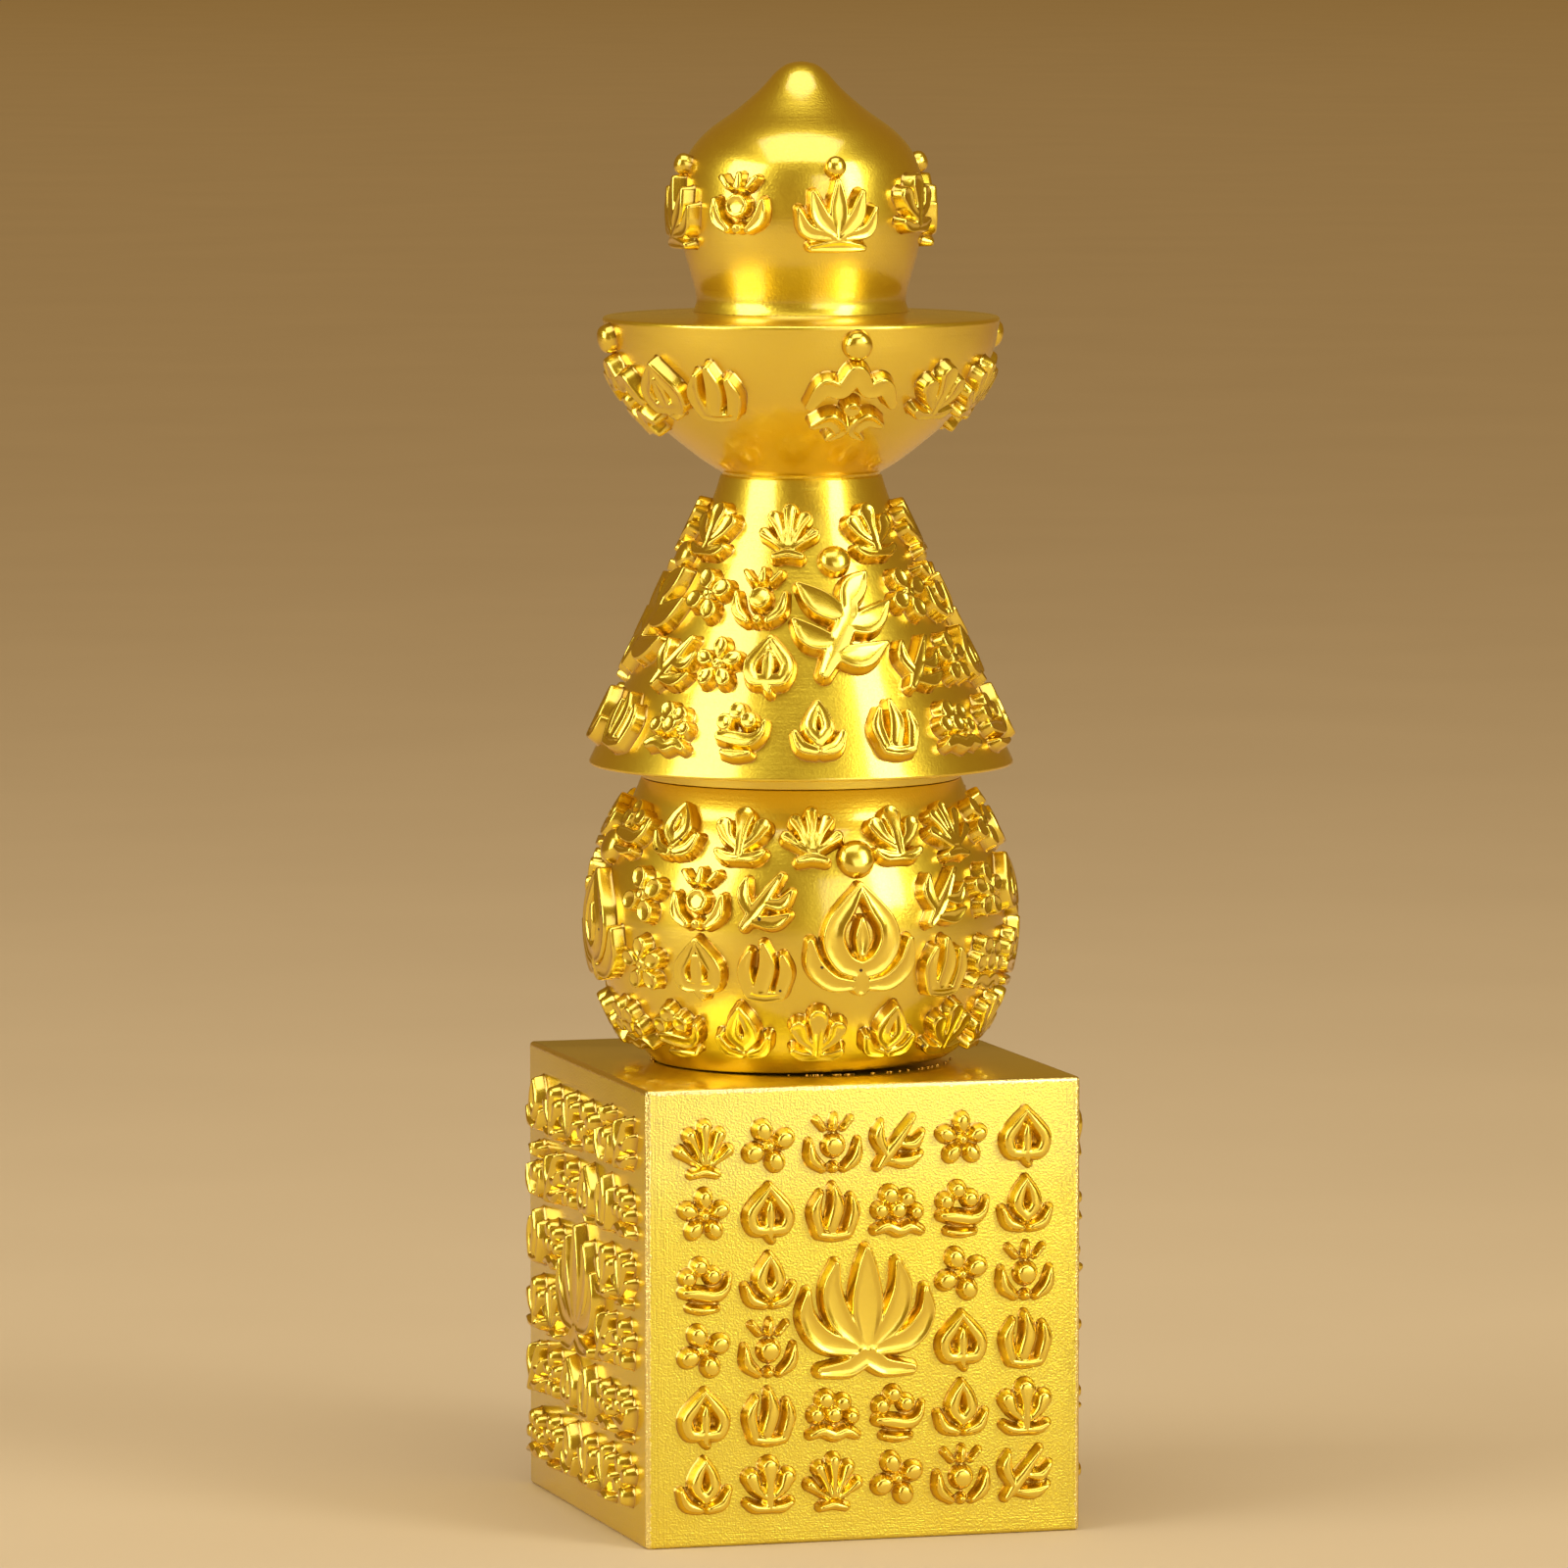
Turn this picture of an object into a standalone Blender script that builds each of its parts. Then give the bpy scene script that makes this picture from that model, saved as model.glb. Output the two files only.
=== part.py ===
"""A five-element stupa for a desk: block, globe, cone, bowl and jewel, cast and stacked on one axis.

Blender 4.5, metres, +Z up. The origin is the centre of the block's underside, and the front looks along -Y.
"""

import math

import bmesh
import bpy
from mathutils import Vector

MM = 0.001

# Fit of the stacked pieces
SEAT_GAP = 0.3 * MM
SPIGOT_RADIUS = 4.0 * MM
SPIGOT_LENGTH = 3.0 * MM
SPIGOT_CLEARANCE = 0.3 * MM

# Block
BLOCK_WIDTH = 48.0 * MM
BLOCK_HEIGHT = 48.8 * MM
BLOCK_EDGE = 0.6 * MM

# Globe, a ball cut off flat at its foot and under its collar
GLOBE_RADIUS = 22.1 * MM
GLOBE_CENTRE = 64.15 * MM
COLLAR_FOOT_RADIUS = 18.5 * MM
COLLAR_RADIUS = 17.2 * MM
COLLAR_TOP = 79.4 * MM

# Cone
CONE_UNDERSIDE = 80.8 * MM
CONE_RADIUS = 23.0 * MM
CONE_EDGE = 0.6 * MM
CONE_SHOULDER_RADIUS = 9.35 * MM
CONE_SHOULDER = 109.5 * MM
NECK_RADIUS = 8.65 * MM
NECK_TOP = 111.7 * MM

# Bowl, a shallow round bowl shape that is solid, and rises a little from its rim to the jewel
BOWL_FOOT_RADIUS = 8.5 * MM
BOWL_FOOT_TOP = 112.2 * MM
BOWL_RADIUS = 21.4 * MM
BOWL_RIM = 128.9 * MM
BOWL_CROWN = 129.4 * MM
BOWL_EDGE = 0.5 * MM

# Jewel
JEWEL_FOOT_RADIUS = 11.6 * MM
JEWEL_TIP = 156.2 * MM

# Relief: how far it stands out, and how deep its root goes
RELIEF_HEIGHT = 1.5 * MM
RELIEF_ROOT = 0.8 * MM
# How much narrower a figure is on top than at its root, on each side
RELIEF_DRAFT = 0.3 * MM
BOSS_SIDES = 8

# Faces round each turned piece
TURNED_SIDES = 40

# Small ornaments: curls that taper from a broad head, as (across, up) in millimetres round the centre
CURL_HEAD = 1.05 * MM
CURL_TAIL = 0.45 * MM
SMALL_CURLS = (
    ((-1.5, 1.9), (1.5, 0.7), (-0.6, -2.5)),
    ((1.5, -1.9), (-1.5, -0.7), (0.6, 2.5)),
    ((1.5, 1.9), (-1.5, 0.7), (0.6, -2.5)),
    ((-1.5, -1.9), (1.5, -0.7), (-0.6, 2.5)),
    ((-1.6, 1.8), (-0.3, -1.8), (2.2, 0.2)),
    ((1.6, 1.8), (0.3, -1.8), (-2.2, 0.2)),
    ((-1.5, -1.9), (-0.2, 1.9), (2.2, -0.8)),
)

# Large ornaments: a volute on each face, as its width, height and stroke's half width at the outer end
VOLUTE_TURNS = 1.0
VOLUTE_POINTS = 8
VOLUTE_TAIL = 0.6
VOLUTE_CLOSING = 0.6
LARGE_VOLUTES = {
    "block": (14.4 * MM, 14.6 * MM, 1.45 * MM),
    "globe": (10.4 * MM, 10.6 * MM, 1.1 * MM),
    "cone": (9.6 * MM, 10.4 * MM, 1.05 * MM),
    "bowl": (9.2 * MM, 9.2 * MM, 0.95 * MM),
    "jewel": (8.0 * MM, 6.7 * MM, 0.75 * MM),
}
# The round boss over each large ornament: its height over the ornament's centre, and its radius
LARGE_BOSSES = {
    "globe": (8.2 * MM, 1.9 * MM),
    "cone": (7.6 * MM, 1.7 * MM),
    "bowl": (6.6 * MM, 1.6 * MM),
    "jewel": (4.8 * MM, 1.2 * MM),
}

# Where the ornaments stand
BLOCK_GRID = 6
BLOCK_PITCH_ACROSS = 7.1 * MM
BLOCK_PITCH_UP = 7.2 * MM
BLOCK_GRID_CENTRE = 24.6 * MM
QUARTERS = 4
EVEN_16 = (11.25, 33.75, 56.25, 78.75)
EVEN_8 = (22.5, 67.5)
# Each row is (height of its centre, angles in one quarter turn in degrees from a large ornament, size)
GLOBE_ROWS = (
    (74.6 * MM, (13.0, 34.0, 56.0, 77.0), 1.0),
    (68.0 * MM, (26.0, 45.0, 64.0), 1.0),
    (60.8 * MM, (26.0, 45.0, 64.0), 1.0),
    (54.2 * MM, EVEN_16, 1.0),
)
CONE_ROWS = (
    (106.2 * MM, EVEN_8, 1.0),
    (99.4 * MM, (33.0, 57.0), 1.0),
    (92.4 * MM, (27.0, 45.0, 63.0), 1.0),
    (85.9 * MM, EVEN_16, 1.0),
)
BOWL_ROWS = ((122.0 * MM, (32.0, 56.0), 1.1),)
# On the bowl the ornaments stand differently in the second and fourth quarters
BOWL_ROWS_BETWEEN = ((122.0 * MM, (26.0, 46.0), 1.1),)
JEWEL_ROWS = ((141.4 * MM, (45.0,), 1.1),)
LARGE_HEIGHTS = {"globe": 64.3 * MM, "cone": 96.4 * MM, "bowl": 120.9 * MM, "jewel": 140.4 * MM}


def clear_scene():
    for old in list(bpy.data.objects):
        bpy.data.objects.remove(old, do_unlink=True)


def satin_gold(name):
    """Satin gold-finished brass, one material for each piece."""
    material = bpy.data.materials.new(name)
    material.use_nodes = True
    shader = material.node_tree.nodes["Principled BSDF"]
    shader.inputs["Base Color"].default_value = (0.80, 0.50, 0.07, 1.0)
    shader.inputs["Metallic"].default_value = 1.0
    shader.inputs["Roughness"].default_value = 0.28
    return material


def new_object(name, mesh_source, material=None):
    mesh = bpy.data.meshes.new(name)
    mesh_source.to_mesh(mesh)
    mesh_source.free()
    made = bpy.data.objects.new(name, mesh)
    bpy.context.scene.collection.objects.link(made)
    if material:
        made.data.materials.append(material)
    return made


# Profiles, as (radius, height) points from the foot up
def arc(centre_radius, centre_height, radius, start_deg, end_deg, steps):
    """Points on a circle in the profile's plane. 0 degrees points outwards and 90 degrees up."""
    angles = [math.radians(start_deg + (end_deg - start_deg) * k / steps) for k in range(steps + 1)]
    return [(centre_radius + radius * math.cos(a), centre_height + radius * math.sin(a)) for a in angles]


def smooth_through(points, steps):
    """A smooth curve through a few points, with that many steps between each two."""
    curve = []
    for k in range(len(points) - 1):
        before = Vector(points[max(k - 1, 0)])
        start, end = Vector(points[k]), Vector(points[k + 1])
        after = Vector(points[min(k + 2, len(points) - 1)])
        for step in range(steps):
            t = step / steps
            pull_start = (end - before) / 2
            pull_end = (after - start) / 2
            curve.append(
                start * (2 * t**3 - 3 * t**2 + 1)
                + end * (3 * t**2 - 2 * t**3)
                + pull_start * (t**3 - 2 * t**2 + t)
                + pull_end * (t**3 - t**2)
            )
    curve.append(Vector(points[-1]))
    return [(p.x, p.y) for p in curve]


def globe_skin():
    """The part of the ball between its seat on the block and the collar."""
    foot_angle = math.degrees(math.asin((BLOCK_HEIGHT + SEAT_GAP - GLOBE_CENTRE) / GLOBE_RADIUS))
    collar_angle = math.degrees(math.acos(COLLAR_FOOT_RADIUS / GLOBE_RADIUS))
    return arc(0.0, GLOBE_CENTRE, GLOBE_RADIUS, foot_angle, collar_angle, 10)


def cone_skin():
    edge = arc(CONE_RADIUS - CONE_EDGE, CONE_UNDERSIDE + CONE_EDGE, CONE_EDGE, -90.0, 0.0, 2)
    return edge + [(CONE_SHOULDER_RADIUS, CONE_SHOULDER)]


def bowl_skin():
    """Almost a part of a ball: steep at the rim and flatter towards the foot."""
    guide = (
        (BOWL_FOOT_RADIUS, BOWL_FOOT_TOP),
        (11.6 * MM, 114.2 * MM),
        (15.3 * MM, 117.3 * MM),
        (18.6 * MM, 121.2 * MM),
        (20.4 * MM, 124.9 * MM),
        (BOWL_RADIUS, BOWL_RIM - BOWL_EDGE),
    )
    return smooth_through(guide, 2)


def jewel_skin():
    """A swelling bulb drawn in to a point, as in the photographed outline."""
    guide = (
        (JEWEL_FOOT_RADIUS, BOWL_CROWN + SEAT_GAP),
        (11.25 * MM, 130.6 * MM),
        (12.2 * MM, 134.8 * MM),
        (13.1 * MM, 139.6 * MM),
        (12.8 * MM, 144.3 * MM),
        (11.0 * MM, 147.8 * MM),
        (7.0 * MM, 151.0 * MM),
        (4.2 * MM, 153.4 * MM),
        (2.0 * MM, 155.7 * MM),
        (0.0, JEWEL_TIP),
    )
    return smooth_through(guide, 2)


def spigot(seat):
    """Underside of a piece that plugs into the one below it, from the axis out to the seat."""
    tip = seat - SPIGOT_LENGTH + SEAT_GAP
    return [(0.0, tip), (SPIGOT_RADIUS, tip), (SPIGOT_RADIUS, seat)]


def socket(top_height):
    """Blind hole in a piece's top, for the spigot of the piece above it."""
    floor = top_height - SPIGOT_LENGTH
    wall = SPIGOT_RADIUS + SPIGOT_CLEARANCE
    return [(wall, top_height), (wall, floor), (0.0, floor)]


def turned(name, profile, material):
    """Spins a profile, given from the axis at the foot to the axis at the top, into a closed solid."""
    shape = bmesh.new()
    # Half a side off the axes, so that no edge runs through the middle of a large ornament
    start = math.pi / TURNED_SIDES
    line = [
        shape.verts.new((radius * math.cos(start), radius * math.sin(start), height))
        for radius, height in profile
    ]
    edges = [shape.edges.new(pair) for pair in zip(line, line[1:])]
    bmesh.ops.spin(
        shape,
        geom=line + edges,
        cent=(0.0, 0.0, 0.0),
        axis=(0.0, 0.0, 1.0),
        angle=math.tau,
        steps=TURNED_SIDES,
        use_merge=True,
    )
    bmesh.ops.remove_doubles(shape, verts=shape.verts, dist=0.005 * MM)
    bmesh.ops.recalc_face_normals(shape, faces=shape.faces)
    piece = new_object(name, shape, material)
    piece.data.shade_smooth()
    piece.data.set_sharp_from_angle(angle=math.radians(35.0))
    return piece


# Places for the relief. Each function gives a map from (across, up, out) to a point on the piece
def on_block_side(quarter, across_centre, height_centre):
    turn = quarter * math.tau / QUARTERS

    def place(across, up, out):
        x = across_centre + across
        y = -BLOCK_WIDTH / 2 - out
        return (
            x * math.cos(turn) - y * math.sin(turn),
            x * math.sin(turn) + y * math.cos(turn),
            height_centre + up,
        )

    return place


def on_turned_side(skin, height_centre, azimuth_deg):
    """Follows a turned piece's skin. Azimuth 0 is the front, and grows towards +X."""
    crossing = next(k for k in range(len(skin) - 1) if skin[k][1] <= height_centre < skin[k + 1][1])
    low, high = Vector(skin[crossing]), Vector(skin[crossing + 1])
    share = (height_centre - low.y) / (high.y - low.y)
    centre_radius = low.lerp(high, share).x

    def along_skin(distance):
        """The skin's point and outward normal, a distance up along it from the ornament's centre."""
        at, point = crossing, low.lerp(high, share)
        step = 1 if distance >= 0 else -1
        left = abs(distance)
        while True:
            target = Vector(skin[at + 1] if step > 0 else skin[at])
            reach = (target - point).length
            last = at + step < 0 or at + step > len(skin) - 2
            if reach >= left or last:
                direction = (Vector(skin[at + 1]) - Vector(skin[at])).normalized()
                return point + direction * left * step, Vector((direction.y, -direction.x))
            left -= reach
            point = target
            at += step

    def place(across, up, out):
        point, normal = along_skin(up)
        azimuth = math.radians(azimuth_deg) + across / centre_radius
        radius = point.x + normal.x * out
        return (radius * math.sin(azimuth), -radius * math.cos(azimuth), point.y + normal.y * out)

    return place


# Relief shapes
def tapering(head, tail, count):
    return [head + (tail - head) * k / (count - 1) for k in range(count)]


def volute(width, height, half_width):
    """A spiral that starts at its foot and winds in, with a stroke that narrows to its end."""
    path = []
    half_widths = tapering(half_width, half_width * VOLUTE_TAIL, VOLUTE_POINTS)
    for k in range(VOLUTE_POINTS):
        share = k / (VOLUTE_POINTS - 1)
        angle = -math.pi / 2 - math.tau * VOLUTE_TURNS * share
        reach = 1.0 - VOLUTE_CLOSING * share
        across = (width / 2 - half_width) * reach * math.cos(angle)
        up = (height / 2 - half_width) * reach * math.sin(angle)
        path.append(Vector((across, up)))
    return path, half_widths


def stroke_edges(path, k, half_width):
    """The left and right edge of a stroke at one of its path's points. The ends run on by half the width."""
    before = (path[k] - path[k - 1]).normalized() if k > 0 else None
    after = (path[k + 1] - path[k]).normalized() if k < len(path) - 1 else None
    run = ((before or after) + (after or before)).normalized()
    side = Vector((-run.y, run.x))
    leading = after or before
    reach = half_width / max(abs(side.dot(Vector((-leading.y, leading.x)))), 0.7)
    middle = path[k].copy()
    if not before:
        middle -= run * half_width
    elif not after:
        middle += run * half_width
    return middle + side * reach, middle - side * reach


def add_stroke(shape, place, path, half_widths):
    """Adds one raised stroke with drafted sides, whose root is sunk in the piece that carries it."""
    sections = []
    for k, half_width in enumerate(half_widths):
        root_left, root_right = stroke_edges(path, k, half_width)
        top_left, top_right = stroke_edges(path, k, half_width - RELIEF_DRAFT)
        corners = (
            (root_left, -RELIEF_ROOT),
            (root_right, -RELIEF_ROOT),
            (top_right, RELIEF_HEIGHT),
            (top_left, RELIEF_HEIGHT),
        )
        sections.append([shape.verts.new(place(*at, out)) for at, out in corners])
    for near, far in zip(sections, sections[1:]):
        for corner in range(4):
            beside = (corner + 1) % 4
            shape.faces.new((near[corner], near[beside], far[beside], far[corner]))
    shape.faces.new(sections[0][::-1])
    shape.faces.new(sections[-1])


def add_boss(shape, place, height, radius):
    """Adds one round raised boss, drafted and sunk in the same way."""
    rings = []
    for ring_radius, out in ((radius, -RELIEF_ROOT), (radius - RELIEF_DRAFT, RELIEF_HEIGHT)):
        angles = [math.tau * k / BOSS_SIDES for k in range(BOSS_SIDES)]
        ring = [(ring_radius * math.cos(a), height + ring_radius * math.sin(a), out) for a in angles]
        rings.append([shape.verts.new(place(*point)) for point in ring])
    root, top = rings
    for k in range(BOSS_SIDES):
        beside = (k + 1) % BOSS_SIDES
        shape.faces.new((root[k], root[beside], top[beside], top[k]))
    shape.faces.new(root[::-1])
    shape.faces.new(top)


def add_small(shape, place, design, size):
    curl = SMALL_CURLS[design % len(SMALL_CURLS)]
    path = [Vector(point) * size * MM for point in curl]
    add_stroke(shape, place, path, tapering(CURL_HEAD, CURL_TAIL, len(path)))


def add_large(shape, place, piece_name):
    add_stroke(shape, place, *volute(*LARGE_VOLUTES[piece_name]))
    if piece_name in LARGE_BOSSES:
        add_boss(shape, place, *LARGE_BOSSES[piece_name])


def fuse_relief(piece, shape):
    """Joins the relief to the piece, because the real one is cast with it."""
    bmesh.ops.triangulate(shape, faces=shape.faces)
    tool = new_object(piece.name + "_relief", shape)
    tool.hide_render = True
    tool.display_type = "WIRE"
    union = piece.modifiers.new("relief", "BOOLEAN")
    union.operation = "UNION"
    union.solver = "EXACT"
    union.object = tool


def relief_on_turned(piece, piece_name, skin, rows, rows_between=None):
    shape = bmesh.new()
    design = 0
    for quarter in range(QUARTERS):
        for row_height, angles, size in (rows_between or rows) if quarter % 2 else rows:
            for angle in angles:
                azimuth = quarter * 90.0 + angle
                add_small(shape, on_turned_side(skin, row_height, azimuth), design, size)
                design += 3
        add_large(shape, on_turned_side(skin, LARGE_HEIGHTS[piece_name], quarter * 90.0), piece_name)
    fuse_relief(piece, shape)


# Pieces
def make_block():
    shape = bmesh.new()
    bmesh.ops.create_cube(shape, size=1.0)
    bmesh.ops.scale(shape, vec=(BLOCK_WIDTH, BLOCK_WIDTH, BLOCK_HEIGHT), verts=shape.verts)
    bmesh.ops.translate(shape, vec=(0.0, 0.0, BLOCK_HEIGHT / 2), verts=shape.verts)
    block = new_object("base_block", shape, satin_gold("base_block_gold"))

    rounding = block.modifiers.new("edges", "BEVEL")
    rounding.width = BLOCK_EDGE
    rounding.segments = 2

    hole = bmesh.new()
    bmesh.ops.create_cone(
        hole,
        cap_ends=True,
        segments=TURNED_SIDES,
        radius1=SPIGOT_RADIUS + SPIGOT_CLEARANCE,
        radius2=SPIGOT_RADIUS + SPIGOT_CLEARANCE,
        depth=2 * SPIGOT_LENGTH,
    )
    bmesh.ops.translate(hole, vec=(0.0, 0.0, BLOCK_HEIGHT), verts=hole.verts)
    cutter = new_object("base_block_socket", hole)
    cutter.hide_render = True
    cutter.display_type = "WIRE"
    drilled = block.modifiers.new("socket", "BOOLEAN")
    drilled.operation = "DIFFERENCE"
    drilled.solver = "EXACT"
    drilled.object = cutter

    relief = bmesh.new()
    middle = (BLOCK_GRID - 1) / 2
    design = 0
    for quarter in range(QUARTERS):
        for row in range(BLOCK_GRID):
            for column in range(BLOCK_GRID):
                design += 1
                if abs(row - middle) < 1 and abs(column - middle) < 1:
                    continue
                across = (column - middle) * BLOCK_PITCH_ACROSS
                height = BLOCK_GRID_CENTRE + (middle - row) * BLOCK_PITCH_UP
                add_small(relief, on_block_side(quarter, across, height), design * 3, 1.0)
        add_large(relief, on_block_side(quarter, 0.0, BLOCK_GRID_CENTRE), "block")
    fuse_relief(block, relief)


def make_globe():
    seat = BLOCK_HEIGHT + SEAT_GAP
    profile = spigot(seat) + globe_skin()
    profile += [(COLLAR_RADIUS, COLLAR_TOP)] + socket(COLLAR_TOP)
    globe = turned("globe", profile, satin_gold("globe_gold"))
    relief_on_turned(globe, "globe", globe_skin(), GLOBE_ROWS)


def make_cone():
    seat = COLLAR_TOP + SEAT_GAP
    profile = spigot(seat) + [(COLLAR_RADIUS, seat), (COLLAR_RADIUS, CONE_UNDERSIDE)]
    profile += cone_skin() + [(NECK_RADIUS + 0.15 * MM, CONE_SHOULDER + 1.2 * MM), (NECK_RADIUS, NECK_TOP)]
    profile += socket(NECK_TOP)
    cone = turned("cone", profile, satin_gold("cone_gold"))
    relief_on_turned(cone, "cone", cone_skin(), CONE_ROWS)


def make_bowl():
    seat = NECK_TOP + SEAT_GAP
    profile = spigot(seat) + [(BOWL_FOOT_RADIUS, seat)] + bowl_skin()
    profile += [(BOWL_RADIUS - BOWL_EDGE, BOWL_RIM), (JEWEL_FOOT_RADIUS, BOWL_CROWN)] + socket(BOWL_CROWN)
    bowl = turned("bowl", profile, satin_gold("bowl_gold"))
    relief_on_turned(bowl, "bowl", bowl_skin(), BOWL_ROWS, BOWL_ROWS_BETWEEN)


def make_jewel():
    seat = BOWL_CROWN + SEAT_GAP
    profile = spigot(seat) + jewel_skin()
    jewel = turned("jewel", profile, satin_gold("jewel_gold"))
    relief_on_turned(jewel, "jewel", jewel_skin(), JEWEL_ROWS)


clear_scene()
make_block()
make_globe()
make_cone()
make_bowl()
make_jewel()
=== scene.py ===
import math
import random

import bpy
import numpy as np
from mathutils import Matrix, Vector


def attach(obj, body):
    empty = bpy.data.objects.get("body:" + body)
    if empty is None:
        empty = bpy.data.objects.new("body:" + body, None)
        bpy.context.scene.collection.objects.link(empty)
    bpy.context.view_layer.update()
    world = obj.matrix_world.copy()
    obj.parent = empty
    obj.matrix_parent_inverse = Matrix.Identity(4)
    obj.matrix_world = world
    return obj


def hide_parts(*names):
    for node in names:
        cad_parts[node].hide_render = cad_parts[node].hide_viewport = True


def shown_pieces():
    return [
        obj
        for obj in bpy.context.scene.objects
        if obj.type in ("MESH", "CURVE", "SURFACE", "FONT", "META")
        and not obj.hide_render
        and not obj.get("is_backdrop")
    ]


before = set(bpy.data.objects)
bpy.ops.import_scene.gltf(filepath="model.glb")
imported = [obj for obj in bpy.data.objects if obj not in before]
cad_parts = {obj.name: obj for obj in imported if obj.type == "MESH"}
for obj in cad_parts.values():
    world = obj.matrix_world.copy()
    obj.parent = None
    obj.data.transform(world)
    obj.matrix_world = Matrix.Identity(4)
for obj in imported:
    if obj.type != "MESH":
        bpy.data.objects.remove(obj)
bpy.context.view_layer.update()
mm = 0.001
print("Frame loaded:", ", ".join(sorted(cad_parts)))


# Camera, set to the photograph's viewpoint
photoCamera = {
    "azimuth": -16.135,  # degrees round from the front
    "elevation": 5.281,
    "distance": 1.18186,
    "aimHeight": 0.07852,
    "aimRight": -0.00184,
    "lens": 252.08,
    "sensor": 36.0,
    "nearest": 0.01,
    "farthest": 50.0,
}


def placeCamera(setup):
    azimuth, elevation = math.radians(setup["azimuth"]), math.radians(setup["elevation"])
    right = Vector((math.cos(azimuth), math.sin(azimuth), 0.0))
    back = Vector((
        math.sin(azimuth) * math.cos(elevation),
        -math.cos(azimuth) * math.cos(elevation),
        math.sin(elevation),
    ))
    aim = right * setup["aimRight"] + Vector((0.0, 0.0, setup["aimHeight"]))
    bpy.ops.object.camera_add(location=aim + back * setup["distance"])
    camera = bpy.context.object
    camera.rotation_euler = back.to_track_quat("Z", "Y").to_euler()
    camera.data.lens = setup["lens"]
    camera.data.sensor_width = setup["sensor"]
    camera.data.clip_start = setup["nearest"]
    camera.data.clip_end = setup["farthest"]
    bpy.context.scene.camera = camera


placeCamera(photoCamera)
print("Camera placed")


# Soft studio light: a large softbox at the left, a narrow one at the right, a fill in front,
# one overhead, and a warm, dim room
studio = {
    "floorSize": 30.0,
    "floorColour": "#D4BF98",
    "floorMottle": "#CCB791",
    "mottlesPerMetre": 14.0,
    "mottleDetail": 3.0,
    "floorRoughness": 0.75,
    "roomColour": "#B68F42",
    "roomStrength": 0.63,
    "aim": (0.0, 0.0, 0.08),
    "wash": {"height": 5.0, "size": 16.0, "radiance": 0.22},  # even light on the floor alone
    # name, azimuth, elevation, distance, width, height, radiance
    "softboxes": (
        ("leftSoftbox", -76.0, 23.0, 1.1, 0.7, 0.8, 3.6),
        ("rightSoftbox", 36.0, 26.0, 1.1, 0.34, 0.72, 5.6),
        ("frontFill", 16.0, 12.0, 1.3, 0.95, 0.7, 1.45),
        ("topSoftbox", -18.0, 73.0, 0.9, 0.85, 0.72, 1.9),
    ),
}


def linear(hexColour):
    values = [int(hexColour[k : k + 2], 16) / 255 for k in (1, 3, 5)]
    return [v / 12.92 if v <= 0.04045 else ((v + 0.055) / 1.055) ** 2.4 for v in values] + [1.0]


def setInputs(material, node, inputs):
    # Each input gets a value, or a link from the output that is given for it
    for socket, value in inputs.items():
        if isinstance(value, bpy.types.NodeSocket):
            material.node_tree.links.new(value, node.inputs[socket])
        else:
            node.inputs[socket].default_value = value


def addNode(material, kind, settings, inputs):
    # settings are the node's own. Inputs go by name, or by number where a node repeats a name
    node = material.node_tree.nodes.new("ShaderNode" + kind)
    for name, value in settings.items():
        setattr(node, name, value)
    setInputs(material, node, inputs)
    return node


def newMaterial(name):
    material = bpy.data.materials.new(name)
    material.use_nodes = True
    return material, material.node_tree.nodes["Principled BSDF"]


def deselectAll():
    if bpy.context.object and bpy.context.object.mode != "OBJECT":
        bpy.ops.object.mode_set(mode="OBJECT")
    bpy.ops.object.select_all(action="DESELECT")


def paintedFloor():
    # Matt painted board: pale, no gloss, a faint roller mottle
    material, shader = newMaterial("matt painted board")
    mottle = addNode(material, "TexNoise", {}, {
        "Vector": addNode(material, "TexCoord", {}, {}).outputs["Object"],
        "Scale": studio["mottlesPerMetre"],
        "Detail": studio["mottleDetail"],
    })
    shade = addNode(material, "ValToRGB", {}, {"Fac": mottle.outputs["Fac"]})
    shade.color_ramp.elements[0].color = linear(studio["floorMottle"])
    shade.color_ramp.elements[1].color = linear(studio["floorColour"])
    setInputs(material, shader, {
        "Base Color": shade.outputs["Color"],
        "Roughness": studio["floorRoughness"],
    })
    return material


def buildStudio(setup):
    deselectAll()
    bpy.ops.mesh.primitive_plane_add(size=setup["floorSize"])
    floor = bpy.context.object
    floor.name = "floor"
    floor.data.materials.append(paintedFloor())
    floor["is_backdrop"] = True

    for name, azimuth, elevation, distance, width, height, radiance in setup["softboxes"]:
        a, e = math.radians(azimuth), math.radians(elevation)
        away = Vector((math.sin(a) * math.cos(e), -math.cos(a) * math.cos(e), math.sin(e)))
        bpy.ops.object.light_add(type="AREA", location=Vector(setup["aim"]) + away * distance)
        box = bpy.context.object
        box.name = name
        box.rotation_euler = away.to_track_quat("Z", "Y").to_euler()
        box.data.shape = "RECTANGLE"
        box.data.size = width
        box.data.size_y = height
        box.data.energy = radiance * math.pi * width * height

    wash = setup["wash"]
    bpy.ops.object.light_add(type="AREA", location=(0, 0, wash["height"]))
    panel = bpy.context.object
    panel.name = "floorWash"
    panel.data.size = wash["size"]
    panel.data.energy = wash["radiance"] * math.pi * wash["size"] ** 2
    panel.visible_glossy = False

    world = bpy.data.worlds.new("studio room")
    bpy.context.scene.world = world
    world.use_nodes = True
    room = world.node_tree.nodes["Background"]
    setInputs(world, room, {"Color": linear(setup["roomColour"]), "Strength": setup["roomStrength"]})
    bpy.context.scene.view_settings.view_transform = "Standard"


buildStudio(studio)
print("Studio built")


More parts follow.
